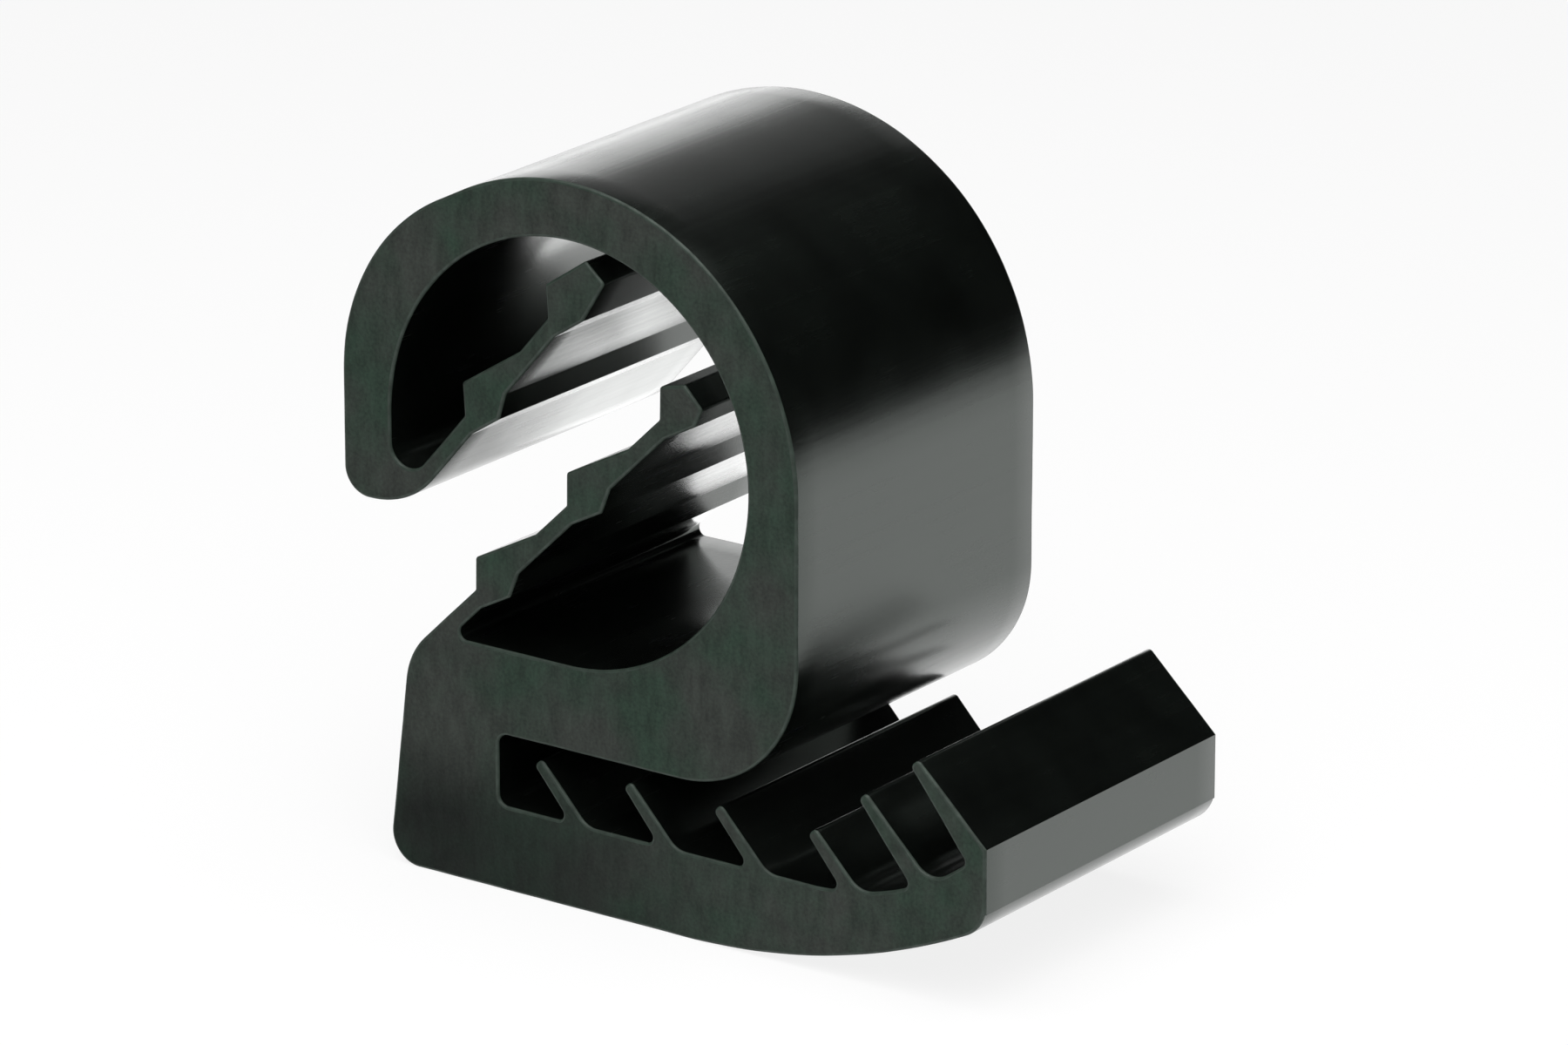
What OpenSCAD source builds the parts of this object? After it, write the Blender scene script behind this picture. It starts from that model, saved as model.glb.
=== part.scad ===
// Edge clip for cables, cut from one extruded profile.
// A round hook with two barbed tongues holds the cable above a jaw whose raked fins grip a panel edge.
// X runs along the jaw towards its mouth, Y along the cable, Z up from the flat base.
// The hook's centre stands above the origin.

/* [Clip] */
// Length of the clip along the cable
clip_length = 12; // [6:0.5:40]

/* [Cable hook] */
// Inside diameter of the round hook
hook_bore = 13; // [11:0.5:18]
// Wall of the hook
hook_wall = 1.75; // [1.2:0.05:2.6]
// Outside radius between the hook's crown and its leg
crown_radius = 6.6; // [5:0.1:7.2]
// Turn of the crown's outside before it runs straight into that radius, in degrees
crown_turn = 117; // [105:1:135]
// Outside radius where the hook turns into the bar
heel_radius = 4.2; // [2:0.1:5]
// Drop of the hook's tip below the hook's centre
tip_drop = 2.75; // [2.3:0.05:3.2]
// How much wider the tip is than the hook's wall
tip_step = 0.66; // [0.4:0.02:0.9]
// Radius of the tip's outer corner
tip_radius = 0.9; // [0.4:0.05:1.1]
// Share of the tip's underside that the round towards the throat takes
tip_lead_share = 0.9; // [0.4:0.05:0.95]

/* [Tongues] */
// Slope of the lower tongue, in degrees
lower_slope = 44; // [42:0.5:47]
// Slope of the upper tongue, in degrees
upper_slope = 49; // [46:0.5:51]
// Distance from the hook's centre down to the lower tongue's face
lower_offset = 1.12; // [0.8:0.02:1.5]
// Thickness of a tongue between its barbs
tongue_thickness = 0.52; // [0.35:0.01:0.7]
// Gap between the lower tongue's end and the hook's inside
lower_gap = 1.15; // [0.8:0.05:2]
// Gap between the upper tongue's end and the hook's inside
upper_gap = 0.85; // [0.7:0.05:2]
// Distance from barb to barb
barb_pitch = 4.7; // [4:0.1:6]
// Least distance from a tongue's root to its first barb
barb_setback = 1; // [0.8:0.1:2]
// Height of a barb on the side towards the hook's tip
barb_height = 0.72; // [0.4:0.02:0.9]
// Slope of a barb's steep side, in degrees
barb_slope = 45; // [35:1:70]
// Length of a barb along its tongue
barb_length = 3.1; // [2:0.1:3.6]
// Height of the bump on a barb's other side
bump_height = 0.35; // [0.15:0.05:0.5]
// Length of that bump along the tongue
bump_length = 1.95; // [1.2:0.05:2.4]
// Length of the lower tongue's end past the foot of its last barb
lower_tail = 1.5; // [1.3:0.1:2]
// Length of the upper tongue's end past the foot of its last barb
upper_tail = 2.4; // [1.8:0.05:2.6]

/* [Panel jaw] */
// Thickness of the jaw's lower arm
arm_thickness = 2.65; // [1.8:0.05:4]
// Height of the panel slot
slot_height = 2.25; // [1.5:0.05:4]
// Thickness of the bar between the slot and the hook
bar_thickness = 2.65; // [1.8:0.05:4]
// Thickness of the back wall at the base
back_wall = 4.16; // [3:0.02:6]
// Inward lean of the back wall's outer side, in degrees
wall_lean = 7; // [0:0.5:10]
// Drop of the back wall's shoulder below the hook's floor
shoulder_drop = 0.8; // [0.6:0.05:2]
// Radius of the shoulder
shoulder_radius = 2.4; // [0.5:0.1:2.8]

/* [Lip] */
// Reach of the lip past the hook's outer side
lip_reach = 6.6; // [5:0.1:10]
// Length of the upturned underside, along the base
lip_turn = 10.6; // [8:0.1:12]
// Radius of the upturned underside
lip_radius = 22.5; // [18:0.5:40]
// Length of the upturned upper side, along the base
lip_upper_turn = 6.1; // [5.6:0.1:7.6]
// Thickness of the lip's end
lip_thickness = 2.4; // [1.6:0.05:3]
// Radius under the lip's end
lip_end_radius = 1.2; // [0.5:0.1:1.4]

/* [Grip fins] */
// Thickness of a fin at its tip
fin_tip = 0.36; // [0.25:0.02:0.5]
// Thickness of a fin at its root
fin_root = 0.48; // [0.4:0.02:0.7]
// Lean of the fins into the slot, in degrees
fin_lean = 42; // [30:1:48]
// Gap between the fins in the slot and the bar
fin_gap = 0.6; // [0.3:0.05:1]
// Place of the first fin's root from the slot's closed end
first_fin = 2.95; // [2.6:0.05:4]
// Distance from fin to fin in the slot
fin_pitch = 3.27; // [2.6:0.01:4]
// Fins on the lip
lip_fins = 2; // [1:1:3]
// Distance from fin to fin on the lip
lip_fin_pitch = 1.95; // [1.7:0.05:2.6]
// Length of the fin at the lip's end
lip_fin_length = 3.25; // [2:0.05:3.6]
// Loss of length of each further fin on the lip
lip_fin_step = 0.2; // [0:0.05:0.6]

/* [Corners] */
// Radius of the corners on the barbs
barb_radius = 0.12; // [0.06:0.01:0.15]
// Radius between the hook's tip and the upper tongue
tip_crotch_radius = 0.7; // [0.3:0.05:0.75]
// Radius between the hook's floor and the lower tongue
floor_crotch_radius = 0.25; // [0.1:0.01:0.3]
// Radius in the closed end of the slot
slot_radius = 0.35; // [0.1:0.05:0.6]
// Radius of the base's rear corner
base_radius = 1; // [0.2:0.05:1.2]
// Radius at a fin's root on its open side
fin_open_radius = 0.8; // [0.3:0.05:1]
// Radius at a fin's root on the side that it leans to
fin_crotch_radius = 0.2; // [0.1:0.02:0.3]

/* [Hidden] */
$fn = 128;
// Degrees between the points of a small rounded corner
arc_step = 9;

// Heights in the profile
bar_z = arm_thickness + slot_height;
floor_z = bar_z + bar_thickness;
shoulder_z = floor_z - shoulder_drop;
hook_r = hook_bore / 2;
hook_z = floor_z + hook_r;
tip_z = hook_z - tip_drop;
outer_r = hook_r + hook_wall;

// Corner between the hook's crown and its leg
// The straight run between the two rounds lies this far inside their common tangent
crown_lap = 0.002;
crown_out = [cos(crown_turn), sin(crown_turn)];
crown_rise = (outer_r - crown_radius) / tan(crown_turn / 2);
crown_centre = [crown_radius - outer_r, hook_z + crown_rise];

// Radius that leads from the tip into the throat
tip_underside = hook_wall + tip_step - tip_radius;
tip_lead_radius = tip_lead_share * tip_underside / tan(upper_slope / 2);

// Faces of the tongues, measured across their slopes from the hook's centre
lower_face = -lower_offset;
lower_back = lower_face - tongue_thickness;
upper_face = (hook_r - tip_step) * sin(upper_slope) - tip_drop * cos(upper_slope);
upper_back = upper_face + tongue_thickness;

// The back wall stands under the lower tongue's face, and the slot ends inside it
shoulder = on_slope([along_at_height(shoulder_z, lower_face, lower_slope), lower_face], lower_slope);
wall_x = shoulder[0] - shoulder_z * tan(wall_lean);
slot_end_x = wall_x + back_wall;

// Upturned lip
lip_end_x = outer_r + lip_reach;
lip_under_x = lip_end_x - lip_turn;
lip_upper_x = lip_end_x - lip_upper_turn;
floor_run = lip_turn - lip_upper_turn;
lip_low_z = lip_radius - sqrt(pow(lip_radius, 2) - pow(lip_turn, 2));
lip_rise = lip_low_z + lip_thickness - arm_thickness;
lip_upper_radius = (pow(lip_upper_turn, 2) + pow(lip_rise, 2)) / (2 * lip_rise);
// The lip's upper round dips this far below the slot floor that it joins
lip_lap = 0.002;
lip_upper_z = arm_thickness + lip_upper_radius - lip_lap;

// Share of a barb's and a bump's height that is left at a tongue's end
tail_share = 0.35;
// Place of a bump's highest point and of its start, as shares of its length
bump_peak_share = 0.6;
bump_lead_share = 0.13;
barb_peak = barb_height / tan(barb_slope);
bump_start = -bump_lead_share * bump_length;
bump_peak = bump_start + bump_peak_share * bump_length;
bump_end = bump_start + bump_length;

// Half of a fin's root, along the arm, and how far it reaches down into the arm
fin_half_root = fin_root / 2 / cos(fin_lean);
fin_sink = 2 * fin_root;
// Share of a fin's tip that each of its rounded corners takes
fin_corner_share = 0.45;
// The last fin's outer face starts this far above the lip's corner
fin_lift = 0.01;
// Length of arm next to a fin, as a multiple of what the root's radius takes
fin_run_share = 1.5;
fin_open_run = fin_run_share * fin_open_radius / tan((90 + fin_lean) / 2);
fin_crotch_run = fin_run_share * fin_crotch_radius / tan((90 - fin_lean) / 2);
// The slot's fins stop this share of a pitch short of the first fin on the lip
fin_clear_share = 0.8;
last_lip_fin_x = lip_end_x - fin_half_root;
first_lip_fin_x = last_lip_fin_x - (lip_fins - 1) * lip_fin_pitch;
last_slot_fin_x = first_lip_fin_x - fin_clear_share * lip_fin_pitch;

// Point of the profile from a place along and across a slope through the hook's centre
function on_slope(p, slope) = [
    p[0] * cos(slope) - p[1] * sin(slope),
    hook_z + p[0] * sin(slope) + p[1] * cos(slope)
];

// Place along a slope where a face reaches a height
function along_at_height(z, across, slope) = (z - hook_z - across * cos(slope)) / sin(slope);

// Place along a slope where a face meets the inside of the hook's leg
function along_at_leg(across, slope) = (across * sin(slope) - hook_r) / cos(slope);

// Place along a slope where a tongue ends, a gap short of the hook's inside
function along_at_end(across, gap) = sqrt(pow(hook_r - gap, 2) - pow(across, 2));

// Feet of a tongue's barbs, from its root to its end
function barb_feet(root, last) =
    let (count = 1 + floor((last - root - barb_setback) / barb_pitch))
    [for (i = [count - 1 : -1 : 0]) last - i * barb_pitch];

// Corners of a tongue: out along its bumped face, round its end and back along its barbed face
function tongue(bumped, barbed, feet, tail) =
    let (end = len(feet) - 1)
    concat(
        [for (i = [0 : end])
            each [
                [feet[i] + bump_start, bumped],
                [feet[i] + bump_peak, bumped - bump_height],
                i < end
                    ? [feet[i] + bump_end, bumped]
                    : [feet[i] + tail, bumped - tail_share * bump_height]
            ]],
        [for (i = [end : -1 : 0])
            each [
                i < end
                    ? [feet[i] + barb_length, barbed]
                    : [feet[i] + tail, barbed + tail_share * barb_height],
                [feet[i] + barb_peak, barbed + barb_height],
                [feet[i], barbed]
            ]]
    );

function xy(p) = [p[0], p[1]];
function unit(v) = v / norm(v);
function turned(v, angle) = [v[0] * cos(angle) - v[1] * sin(angle), v[0] * sin(angle) + v[1] * cos(angle)];

// Points of the arc that rounds corner b between its neighbours a and c
function corner_arc(a, b, c) =
    let (
        to_a = unit(xy(a) - xy(b)),
        to_c = unit(xy(c) - xy(b)),
        half = acos(to_a * to_c) / 2,
        centre = xy(b) + unit(to_a + to_c) * b[2] / sin(half),
        start = xy(b) + to_a * b[2] / tan(half) - centre,
        sweep = sign(cross(to_a, to_c)) * (2 * half - 180),
        steps = ceil(abs(sweep) / arc_step)
    )
    [for (i = [0 : steps]) centre + turned(start, sweep * i / steps)];

// Outline through corners given as [x, y, radius]
function rounded(corners) =
    let (n = len(corners))
    [for (i = [0 : n - 1])
        each corners[i][2] == 0
            ? [xy(corners[i])]
            : corner_arc(corners[(i + n - 1) % n], corners[i], corners[(i + 1) % n])];

// Height of the lower arm's upper side
function arm_top(x) =
    x <= lip_upper_x
        ? arm_thickness
        : lip_upper_z - sqrt(pow(lip_upper_radius, 2) - pow(x - lip_upper_x, 2));

// Arch of the hook, and its outer side down to the bar's heel
module hook_profile() {
    difference() {
        union() {
            intersection() {
                translate([0, hook_z]) circle(r = outer_r);
                translate([-outer_r, hook_z]) square([2 * outer_r, outer_r]);
            }
            polygon([
                [0, hook_z],
                [0, hook_z] + (outer_r - crown_lap) * crown_out,
                crown_centre + (crown_radius - crown_lap) * crown_out,
                crown_centre
            ]);
            translate(crown_centre) circle(r = crown_radius);
            translate([-outer_r, hook_z]) square([outer_r, crown_rise]);
            translate([0, bar_z]) square([outer_r - heel_radius, hook_z - bar_z]);
            translate([0, bar_z + heel_radius]) square([outer_r, hook_z - bar_z - heel_radius]);
            translate([outer_r - heel_radius, bar_z + heel_radius]) circle(r = heel_radius);
        }
        translate([0, hook_z]) circle(r = hook_r);
        translate([-outer_r - hook_wall, 0]) square([outer_r + hook_wall, hook_z]);
    }
}

// Straight leg of the hook, its tip and the upper tongue
module tip_profile() {
    root = along_at_leg(upper_back, upper_slope);
    feet = barb_feet(root, along_at_end(upper_face, upper_gap) - upper_tail);
    lead = along_at_height(tip_z, upper_face, upper_slope);
    polygon(rounded(concat(
        [
            [-hook_r, hook_z, 0],
            [-outer_r, hook_z, 0],
            [-outer_r, tip_z, tip_radius],
            concat(on_slope([lead, upper_face], upper_slope), tip_lead_radius)
        ],
        [for (corner = tongue(upper_face, upper_back, feet, upper_tail))
            concat(on_slope(corner, upper_slope), barb_radius)],
        [concat(on_slope([root, upper_back], upper_slope), tip_crotch_radius)]
    )));
}

// Bar, lower tongue, back wall and lower arm, round the closed end of the slot
module jaw_profile() {
    root = along_at_height(floor_z, lower_back, lower_slope);
    feet = barb_feet(root, along_at_end(lower_back, lower_gap) - lower_tail);
    polygon(rounded(concat(
        [
            [0, bar_z, 0],
            [0, floor_z, 0],
            concat(on_slope([root, lower_back], lower_slope), floor_crotch_radius)
        ],
        [for (corner = tongue(lower_back, lower_face, feet, lower_tail))
            concat(on_slope(corner, lower_slope), barb_radius)],
        [
            concat(shoulder, shoulder_radius),
            [wall_x, 0, base_radius],
            [lip_under_x, 0, 0],
            [lip_under_x, arm_thickness, 0],
            [slot_end_x, arm_thickness, slot_radius],
            [slot_end_x, bar_z, slot_radius]
        ]
    )));
}

// Upturned lip of the lower arm
module lip_profile() {
    difference() {
        intersection() {
            translate([lip_under_x, lip_radius]) circle(r = lip_radius);
            translate([lip_under_x, 0]) square([lip_turn, lip_upper_z]);
        }
        translate([lip_under_x - floor_run, arm_thickness]) square([2 * floor_run, lip_upper_z]);
        translate([lip_upper_x, lip_upper_z]) circle(r = lip_upper_radius);
        lip_end_cut();
    }
}

// What the radius under the lip's end takes away
module lip_end_cut() {
    centre_x = lip_end_x - lip_end_radius;
    centre_z = lip_radius
        - sqrt(pow(lip_radius - lip_end_radius, 2) - pow(centre_x - lip_under_x, 2));
    outwards = unit([centre_x - lip_under_x, centre_z - lip_radius]);
    below = [lip_under_x, lip_radius] + outwards * (lip_radius + lip_end_radius);
    beyond_x = lip_end_x + lip_end_radius;
    difference() {
        polygon([[centre_x, centre_z], below, [beyond_x, below[1]], [beyond_x, centre_z]]);
        translate([centre_x, centre_z]) circle(r = lip_end_radius);
    }
}

// Raked fin on the lower arm, rounded into it; the last fin has no arm on its open side
module fin_profile(x, length, last = false) {
    foot = [x, arm_top(x)];
    up = [-sin(fin_lean), cos(fin_lean)];
    across = [cos(fin_lean), sin(fin_lean)];
    open_x = x + fin_half_root;
    crotch_x = x - fin_half_root;
    open_end_x = last ? open_x : open_x + fin_open_run;
    crotch_end_x = crotch_x - fin_crotch_run;
    tip_corner = fin_corner_share * fin_tip;
    polygon(rounded([
        if (!last) [open_end_x, arm_top(open_end_x), 0],
        [open_x, arm_top(open_x) + (last ? fin_lift : 0), last ? 0 : fin_open_radius],
        concat(foot + up * length + across * fin_tip / 2, tip_corner),
        concat(foot + up * length - across * fin_tip / 2, tip_corner),
        [crotch_x, arm_top(crotch_x), fin_crotch_radius],
        [crotch_end_x, arm_top(crotch_end_x), 0],
        [crotch_end_x, arm_top(crotch_end_x) - fin_sink, 0],
        [open_end_x, arm_top(crotch_end_x) - fin_sink, 0]
    ]));
}

module fins_profile() {
    tip_height = bar_z - fin_gap;
    for (x = [slot_end_x + first_fin : fin_pitch : last_slot_fin_x])
        fin_profile(x, (tip_height - arm_top(x)) / cos(fin_lean));
    for (i = [0 : lip_fins - 1])
        fin_profile(last_lip_fin_x - i * lip_fin_pitch, lip_fin_length - i * lip_fin_step, last = i == 0);
}

module clip() {
    color([0.12, 0.13, 0.125])
        rotate([90, 0, 0])
            linear_extrude(clip_length, center = true) {
                hook_profile();
                tip_profile();
                jaw_profile();
                lip_profile();
                fins_profile();
            }
}

clip();
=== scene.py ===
"""Cable clip: the sawn length of extruded profile on a white floor, seen as in the photograph."""

import math

import bpy
import bmesh
from mathutils import Matrix, Vector, geometry, noise


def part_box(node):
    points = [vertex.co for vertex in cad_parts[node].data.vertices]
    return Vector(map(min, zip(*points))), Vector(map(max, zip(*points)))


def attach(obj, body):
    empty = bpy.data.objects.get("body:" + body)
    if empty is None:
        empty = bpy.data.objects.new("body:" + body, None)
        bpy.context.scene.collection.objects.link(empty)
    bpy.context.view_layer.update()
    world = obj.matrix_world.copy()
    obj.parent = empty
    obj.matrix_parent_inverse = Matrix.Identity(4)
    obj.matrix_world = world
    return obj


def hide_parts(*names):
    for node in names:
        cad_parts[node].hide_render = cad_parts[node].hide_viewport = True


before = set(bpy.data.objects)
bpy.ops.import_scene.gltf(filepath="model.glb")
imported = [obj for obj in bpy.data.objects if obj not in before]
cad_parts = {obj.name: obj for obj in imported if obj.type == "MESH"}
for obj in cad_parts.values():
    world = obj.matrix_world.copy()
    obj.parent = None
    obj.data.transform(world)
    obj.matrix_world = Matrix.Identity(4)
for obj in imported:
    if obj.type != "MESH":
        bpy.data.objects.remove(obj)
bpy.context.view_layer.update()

MM = 0.001

# Outline of the profile: which points are one, which runs are arcs, and how finely both are split
SAME_POINT = 1e-6
ARC_LENGTHS_ALIKE = 0.03
ARC_LEAST_TURN = 1e-3
ARC_MOST_TURN = math.radians(16)
ARC_STEP = math.radians(2.5)
RUN_STEP = 0.35 * MM

# Sawn ends: radius of the broken edge, its unevenness and the steps round it
EDGE_RADIUS = 0.085 * MM
EDGE_WEAR = 0.022 * MM
EDGE_WEAR_SCALE = 900
EDGE_STEPS = 4
MITER_LIMIT = 1.5

# Side faces: rows along the extrusion, and the turn from which an edge stays sharp
SIDE_STATIONS = 12
SHARP = math.radians(30)

# The clip's material slots
SKIN, CUT, EDGE = range(3)

# Noise: its roughness, and the range in which most of its values lie
NOISE_ROUGHNESS = 0.55
NOISE_LOW = 0.3
NOISE_HIGH = 0.7

# Stretch of the die's lines along the extrusion, and of the saw's streaks up the ends
ALONG = (1, 0.003, 1)
SAW = (1, 1, 0.3)

# Colours of the skin, of the sawn ends, of the shade painted low on them and of their broken edges
SKIN_DARK = (0.0012, 0.0016, 0.0013)
SKIN_PALE = (0.0028, 0.0036, 0.003)
SKIN_GLINT = (0.72, 1.0, 0.8, 1)
CUT_DARK_GREEN = (0.0125, 0.0245, 0.0165)
CUT_DARK_GREY = (0.0205, 0.0245, 0.021)
CUT_PALE_GREEN = (0.027, 0.053, 0.0365)
CUT_PALE_GREY = (0.0425, 0.0505, 0.0435)
# Painted shade: darker sawn-end colours laid low at the rear end, towards the floor
SHADE_DARK = (0.0012, 0.003, 0.002)
SHADE_PALE = (0.005, 0.01, 0.007)
EDGE_DARK = (0.012, 0.022, 0.015)
EDGE_PALE = (0.032, 0.05, 0.038)

# Painted shade on the sawn ends: where it thins out upwards and to the front, and its least share
# among the blotches
SHADE_UP = (2 * MM, 4.5 * MM)
SHADE_FORWARD = (-2 * MM, 5.5 * MM)
SHADE_LEAST = 0.7

# Floor: half its width, and its glow, which fades in reflections this far to the photo's right
FLOOR_REACH = 1.4
FLOOR_COLOUR = (0.93, 0.93, 0.93, 1)
FLOOR_GLOW = 0.85
GLOW_FULL = 0.068
GLOW_END = 0.13

# Soft lights: place and aim (right, away and up in the photo, in mm), size and radiance
LIGHTS = {
    "overhead": ((-10, -115, 170), (-10, -115, 0), (0.22, 0.33), 3.2),
    "backdrop": ((-30, 350, 69), (0, 0, 16), (0.42, 0.138), 1.08),
    "backdrop_top": ((-30, 340, 205), (0, 0, 16), (0.42, 0.16), 0.16),
    "bounce": ((3, 22, 0.4), (3, 22, 40), (0.008, 0.012), 0.9),
}
WORLD_COLOUR = (0.008, 0.008, 0.008, 1)

# Camera: fitted to the edges of the clip in the photograph
AZIMUTH = math.radians(35.837)
ELEVATION = math.radians(18.621)
TARGET = Vector((1.85, 0, 10.852)) * MM
CAMERA_DISTANCE = 261.2 * MM
CLIP_START = 0.01
LENS = 203.15
SENSOR = 36
AIM_RIGHT = 1.315 * MM
AIM_UP = -0.138 * MM

# Directions of the photograph: towards the camera, right, up, and away along the floor
BACK = Vector((
    math.sin(AZIMUTH) * math.cos(ELEVATION),
    -math.cos(AZIMUTH) * math.cos(ELEVATION),
    math.sin(ELEVATION),
))
RIGHT = Vector((math.cos(AZIMUTH), math.sin(AZIMUTH), 0))
UP = BACK.cross(RIGHT)
AWAY = Vector((-math.sin(AZIMUTH), math.cos(AZIMUTH), 0))


def end_outline(node):
    """Closed outline of the CAD node's near end, as (x, z) points, anticlockwise from the front."""
    mesh = node.data
    near = min(v.co.y for v in mesh.vertices)
    places = {}
    edges = {}
    for poly in mesh.polygons:
        points = [mesh.vertices[i].co for i in poly.vertices]
        if max(p.y for p in points) > near + SAME_POINT:
            continue
        keys = [(round(p.x / SAME_POINT), round(p.z / SAME_POINT)) for p in points]
        for key, p in zip(keys, points):
            places[key] = Vector((p.x, p.z))
        for a, b in zip(keys, keys[1:] + keys[:1]):
            if a != b and edges.pop((b, a), None) is None:
                edges[(a, b)] = True
    following = dict(edges.keys())
    first = min(following)
    loop = [first]
    while following[loop[-1]] != first:
        loop.append(following[loop[-1]])
    outline = [places[key] for key in loop]
    area = sum(a.cross(b) for a, b in zip(outline, outline[1:] + outline[:1]))
    return outline if area > 0 else outline[::-1]


def circle_centre(a, b, c):
    """Centre of the circle through three points, or None unless they make an even, gentle arc."""
    first, second, chord = b - a, c - b, c - a
    if abs(first.length - second.length) > ARC_LENGTHS_ALIKE * second.length:
        return None
    turn = abs(first.angle_signed(second))
    if turn > ARC_MOST_TURN or turn < ARC_LEAST_TURN:
        return None
    near, far = first.length_squared, chord.length_squared
    offset = Vector((chord.y * near - first.y * far, first.x * far - chord.x * near))
    return a + offset / (2 * first.cross(chord))


def refined(outline):
    """The outline with its arcs split into finer chords and its straight runs into short steps."""
    n = len(outline)
    points = []
    for i in range(n):
        before, a, b, after = (outline[(i + k) % n] for k in (-1, 0, 1, 2))
        centre = circle_centre(before, a, b) or circle_centre(a, b, after)
        points.append(a)
        if centre is None:
            steps = math.ceil((b - a).length / RUN_STEP)
            points += [a.lerp(b, k / steps) for k in range(1, steps)]
            continue
        spoke = a - centre
        sweep = -spoke.angle_signed(b - centre)
        steps = max(math.ceil(abs(sweep) / ARC_STEP), math.ceil((b - a).length / RUN_STEP))
        points += [centre + Matrix.Rotation(sweep * k / steps, 2) @ spoke for k in range(1, steps)]
    return points


def inward(outline):
    """Mitred inward direction at each point of an anticlockwise outline."""
    n = len(outline)
    directions = []
    for i in range(n):
        before, here, after = outline[i - 1], outline[i], outline[(i + 1) % n]
        first, second = (here - before).normalized(), (after - here).normalized()
        first, second = Vector((-first.y, first.x)), Vector((-second.y, second.x))
        miter = (first + second) / (1 + first.dot(second))
        directions.append(miter * min(1, MITER_LIMIT / miter.length))
    return directions


def edge_radius(place, end):
    """Radius of a sawn end's broken edge at a place on the outline."""
    unevenness = noise.noise(Vector((place.x, end, place.y)) * EDGE_WEAR_SCALE)
    return EDGE_RADIUS + EDGE_WEAR * unevenness


def broken_edge(outline, insides, end, outwards):
    """Rings from the side faces round to the sawn end at y = end, which faces along outwards."""
    radii = [edge_radius(p, end) for p in outline]
    rings = []
    for k in range(EDGE_STEPS + 1):
        angle = math.pi / 2 * k / EDGE_STEPS
        rings.append([
            (
                p.x + side.x * r * (1 - math.cos(angle)),
                end - outwards * r * (1 - math.sin(angle)),
                p.y + side.y * r * (1 - math.cos(angle)),
            )
            for p, side, r in zip(outline, insides, radii)
        ])
    return rings


def sawn_profile(name, node, materials):
    """The profile of a CAD node between two sawn ends whose edges are slightly broken."""
    low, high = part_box(node)
    outline = refined(end_outline(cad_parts[node]))
    insides = inward(outline)
    n = len(outline)
    near = broken_edge(outline, insides, low.y, -1)
    far = broken_edge(outline, insides, high.y, 1)
    between = [
        [
            (a[0], a[1] + (b[1] - a[1]) * k / SIDE_STATIONS, a[2])
            for a, b in zip(near[0], far[0])
        ]
        for k in range(1, SIDE_STATIONS)
    ]
    stack = near[::-1] + between + far
    last = len(stack) - 1
    verts = [v for ring in stack for v in ring]
    faces = []
    slots = []
    for k in range(last):
        rounded = k < EDGE_STEPS or k >= last - EDGE_STEPS
        for i in range(n):
            j = (i + 1) % n
            faces.append((k * n + j, k * n + i, (k + 1) * n + i, (k + 1) * n + j))
            slots.append(EDGE if rounded else SKIN)
    for k, front in ((0, True), (last, False)):
        flat = [Vector((v[0], v[2], 0)) for v in stack[k]]
        for a, b, c in geometry.tessellate_polygon([flat]):
            if ((flat[b] - flat[a]).cross(flat[c] - flat[a]).z > 0) != front:
                b, c = c, b
            faces.append((k * n + a, k * n + b, k * n + c))
            slots.append(CUT)
    mesh = bpy.data.meshes.new(name)
    mesh.from_pydata(verts, [], faces)
    for material in materials:
        mesh.materials.append(material)
    mesh.polygons.foreach_set("material_index", slots)
    mesh.polygons.foreach_set("use_smooth", [slot != CUT for slot in slots])
    shape = bmesh.new()
    shape.from_mesh(mesh)
    for edge in shape.edges:
        edge.smooth = edge.calc_face_angle(0) < SHARP
    shape.to_mesh(mesh)
    shape.free()
    piece = bpy.data.objects.new(name, mesh)
    bpy.context.scene.collection.objects.link(piece)
    return piece


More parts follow.
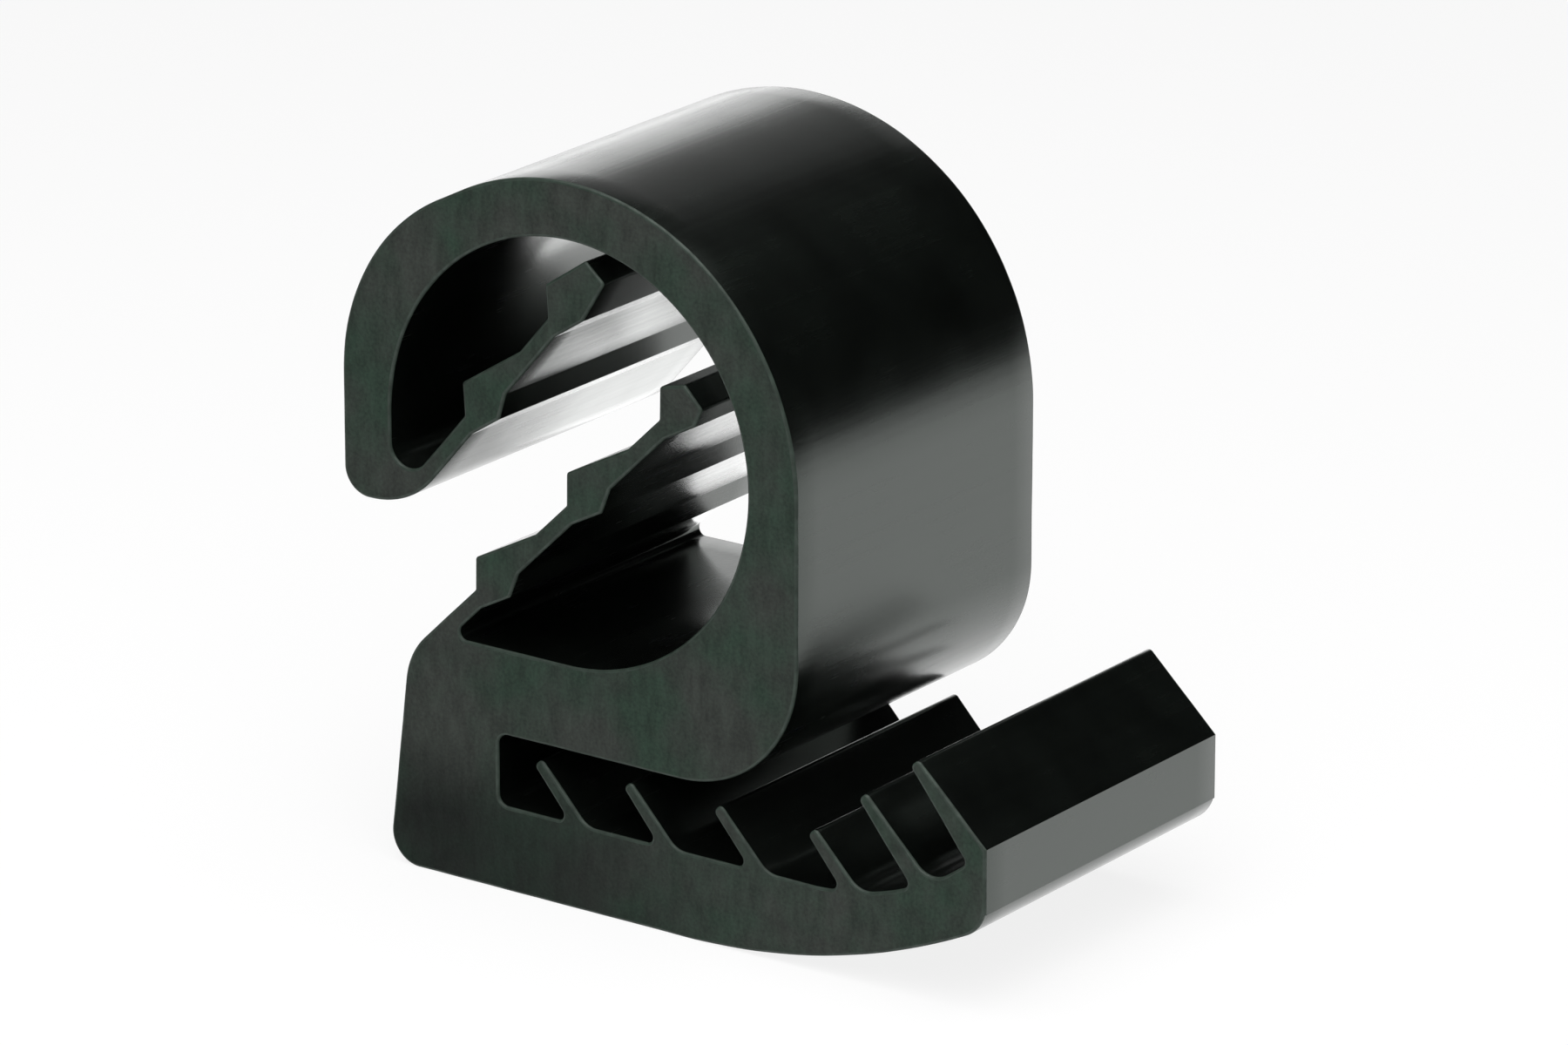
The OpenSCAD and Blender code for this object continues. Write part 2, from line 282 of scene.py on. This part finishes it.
class Nodes:
    """Short forms for building one material's nodes; a value is a number, a colour or a socket."""

    def __init__(self, name):
        self.material = bpy.data.materials.new(name)
        self.material.use_nodes = True
        self.tree = self.material.node_tree
        self.shader = self.tree.nodes["Principled BSDF"]
        self.place = self.add("TexCoord").outputs["Object"]

    def add(self, kind, **settings):
        """A new shader node with the given settings."""
        node = self.tree.nodes.new("ShaderNode" + kind)
        for name, value in settings.items():
            setattr(node, name, value)
        return node

    def feed(self, socket, value):
        """Link another node's output to a socket, or set a plain value on it."""
        if isinstance(value, bpy.types.NodeSocket):
            self.tree.links.new(value, socket)
        else:
            socket.default_value = value

    def stretched(self, scale):
        """The object's own coordinates, scaled along each axis."""
        node = self.add("Mapping")
        self.feed(node.inputs["Vector"], self.place)
        self.feed(node.inputs["Scale"], scale)
        return node.outputs["Vector"]

    def noise(self, scale, detail, vector=None):
        """Noise with so many features to the metre."""
        node = self.add("TexNoise")
        self.feed(node.inputs["Vector"], vector or self.place)
        self.feed(node.inputs["Scale"], scale)
        self.feed(node.inputs["Detail"], detail)
        self.feed(node.inputs["Roughness"], NOISE_ROUGHNESS)
        return node.outputs["Fac"]

    def map(self, value, low, high, start=NOISE_LOW, end=NOISE_HIGH, interpolation="LINEAR"):
        """The value's range from start to end, turned into low to high."""
        node = self.add("MapRange", interpolation_type=interpolation)
        self.feed(node.inputs["Value"], value)
        self.feed(node.inputs["From Min"], start)
        self.feed(node.inputs["From Max"], end)
        self.feed(node.inputs["To Min"], low)
        self.feed(node.inputs["To Max"], high)
        return node.outputs["Result"]

    def mix(self, factor, first, second):
        """Colour between two others."""
        node = self.add("Mix", data_type="RGBA")
        self.feed(node.inputs["Factor"], factor)
        sockets = [s for s in node.inputs if s.type == "RGBA"]
        for socket, value in zip(sockets, (first, second)):
            self.feed(socket, (*value, 1) if isinstance(value, tuple) else value)
        return next(s for s in node.outputs if s.type == "RGBA")

    def combine(self, operation, first, second):
        """Two values put through a Math node."""
        node = self.add("Math", operation=operation)
        self.feed(node.inputs[0], first)
        self.feed(node.inputs[1], second)
        return node.outputs["Value"]

    def sum(self, first, second):
        return self.combine("ADD", first, second)

    def times(self, first, second):
        return self.combine("MULTIPLY", first, second)

    def larger(self, first, second):
        return self.combine("MAXIMUM", first, second)

    def bump(self, height, distance, below=None):
        """Normal of a relief so deep, on top of the one below it."""
        node = self.add("Bump")
        self.feed(node.inputs["Height"], height)
        self.feed(node.inputs["Distance"], distance)
        if below:
            self.feed(node.inputs["Normal"], below)
        return node.outputs["Normal"]

    def put(self, **values):
        """Set the shader's own sockets, named with _ for each space."""
        for name, value in values.items():
            self.feed(self.shader.inputs[name.replace("_", " ")], value)


def skin_material():
    """Satin black skin as it leaves the die, with fine lines along the extrusion."""
    m = Nodes("clip_skin")
    lines = m.noise(scale=4200, detail=4, vector=m.stretched(ALONG))
    patches = m.noise(scale=420, detail=2)
    grain = m.noise(scale=11000, detail=2)
    m.put(
        Base_Color=m.mix(m.map(patches, low=0, high=1), SKIN_DARK, SKIN_PALE),
        Roughness=m.map(m.sum(lines, patches), low=0.19, high=0.29, start=0.7, end=1.3),
        IOR=1.5,
        Specular_Tint=SKIN_GLINT,
        Coat_Weight=1.0,
        Coat_Roughness=0.22,
        Coat_IOR=1.5,
        Normal=m.bump(grain, distance=3e-6, below=m.bump(lines, distance=5e-6)),
    )
    return m.material


def cut_material():
    """Dull grey-green sawn end: saw streaks, torn grain, soft blotches and painted shade low at the
    rear.
    """
    m = Nodes("clip_cut")
    streaks = m.noise(scale=3600, detail=4, vector=m.stretched(SAW))
    blotches = m.map(m.noise(scale=300, detail=3), low=0, high=1, start=0.38, end=0.62)
    mottle = m.noise(scale=1300, detail=4)
    grain = m.noise(scale=9000, detail=2)
    tone = m.map(m.sum(m.sum(streaks, mottle), grain), low=0, high=1, start=1.15, end=1.85)
    unshaded_cut = m.mix(
        tone,
        m.mix(blotches, CUT_DARK_GREEN, CUT_DARK_GREY),
        m.mix(blotches, CUT_PALE_GREEN, CUT_PALE_GREY),
    )
    # Painted shade: a darker copy of the sawn end's colour, low at the rear end near the floor
    shaded_cut = m.mix(tone, SHADE_DARK, SHADE_PALE)
    m.put(
        Base_Color=m.mix(painted_shade(m, blotches), unshaded_cut, shaded_cut),
        Roughness=m.map(mottle, low=0.6, high=0.76),
        IOR=1.3,
        Normal=m.bump(grain, distance=1.2e-5, below=m.bump(streaks, distance=1.2e-5)),
    )
    return m.material


def painted_shade(m, blotches):
    """Share of the painted shade, darker low at the clip's rear end towards the floor."""
    parts = m.add("SeparateXYZ")
    m.feed(parts.inputs["Vector"], m.place)
    low = m.map(parts.outputs["Z"], 1, 0, *SHADE_UP)
    rear = m.map(parts.outputs["X"], 1, 0, *SHADE_FORWARD)
    return m.times(m.times(low, rear), m.map(blotches, SHADE_LEAST, 1, start=0, end=1))


def edge_material():
    """Broken edge of a sawn end: rubbed a little smoother than the end itself."""
    m = Nodes("clip_edge")
    rub = m.noise(scale=2600, detail=4)
    grain = m.noise(scale=12000, detail=2)
    m.put(
        Base_Color=m.mix(m.map(rub, low=0, high=1), EDGE_DARK, EDGE_PALE),
        Roughness=m.map(rub, low=0.62, high=0.45),
        IOR=1.45,
        Normal=m.bump(grain, distance=1e-5),
    )
    return m.material


def floor_material():
    """White paper that keeps shadows: it glows to the camera, and in reflections up to the fade."""
    m = Nodes("floor")
    m.tree.nodes.remove(m.shader)
    path = m.add("LightPath").outputs
    reach = m.add("VectorMath", operation="DOT_PRODUCT")
    m.feed(reach.inputs[0], m.place)
    m.feed(reach.inputs[1], RIGHT)
    fade = m.map(reach.outputs["Value"], FLOOR_GLOW, 0, GLOW_FULL, GLOW_END, "SMOOTHSTEP")
    seen = m.times(path["Is Camera Ray"], FLOOR_GLOW)
    mirrored = m.times(m.larger(path["Is Glossy Ray"], path["Is Transmission Ray"]), fade)
    paper = m.add("BsdfDiffuse")
    m.feed(paper.inputs["Color"], FLOOR_COLOUR)
    mix = m.add("MixShader")
    m.feed(mix.inputs["Fac"], m.larger(seen, mirrored))
    m.feed(mix.inputs[1], paper.outputs["BSDF"])
    m.feed(mix.inputs[2], m.add("Emission").outputs["Emission"])
    m.feed(m.tree.nodes["Material Output"].inputs["Surface"], mix.outputs["Shader"])
    return m.material


def add_floor():
    """Square floor on z = 0."""
    mesh = bpy.data.meshes.new("floor")
    signs = ((-1, -1), (1, -1), (1, 1), (-1, 1))
    corners = [(x * FLOOR_REACH, y * FLOOR_REACH, 0) for x, y in signs]
    mesh.from_pydata(corners, [], [(0, 1, 2, 3)])
    mesh.materials.append(floor_material())
    floor = bpy.data.objects.new("floor", mesh)
    bpy.context.scene.collection.objects.link(floor)


def in_view(right, away, height):
    """Point given in the photograph's own directions, in mm from the origin."""
    return (RIGHT * right + AWAY * away + Vector((0, 0, height))) * MM


def add_softbox(name, place, aim, size, radiance):
    """Rectangular soft light whose width runs to the photograph's right."""
    width, height = size
    data = bpy.data.lights.new(name, "AREA")
    data.shape = "RECTANGLE"
    data.size = width
    data.size_y = height
    data.energy = radiance * math.pi * width * height
    light = bpy.data.objects.new(name, data)
    forward = (place - aim).normalized()
    side = (RIGHT - forward * RIGHT.dot(forward)).normalized()
    turn = Matrix((side, forward.cross(side), forward)).transposed()
    light.matrix_world = Matrix.Translation(place) @ turn.to_4x4()
    light.visible_camera = False
    bpy.context.scene.collection.objects.link(light)


def add_lights():
    """The soft lights and a faint even light from all round."""
    for name, (place, aim, size, radiance) in LIGHTS.items():
        add_softbox(name, in_view(*place), in_view(*aim), size, radiance)
    world = bpy.data.worlds.new("studio")
    bpy.context.scene.world = world
    world.use_nodes = True
    world.node_tree.nodes["Background"].inputs["Color"].default_value = WORLD_COLOUR


def add_camera():
    """Camera at the photograph's place."""
    data = bpy.data.cameras.new("camera")
    data.sensor_fit = "HORIZONTAL"
    data.sensor_width = SENSOR
    data.lens = LENS
    data.clip_start = CLIP_START
    camera = bpy.data.objects.new("camera", data)
    aim = TARGET + RIGHT * AIM_RIGHT + UP * AIM_UP
    turn = Matrix((RIGHT, UP, BACK)).transposed()
    camera.matrix_world = Matrix.Translation(aim + BACK * CAMERA_DISTANCE) @ turn.to_4x4()
    bpy.context.scene.collection.objects.link(camera)
    bpy.context.scene.camera = camera


add_camera()
clip = sawn_profile("clip_body", "clip", [skin_material(), cut_material(), edge_material()])
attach(clip, "root")
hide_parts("clip")
add_floor()
add_lights()
bpy.context.scene.view_settings.view_transform = "Standard"
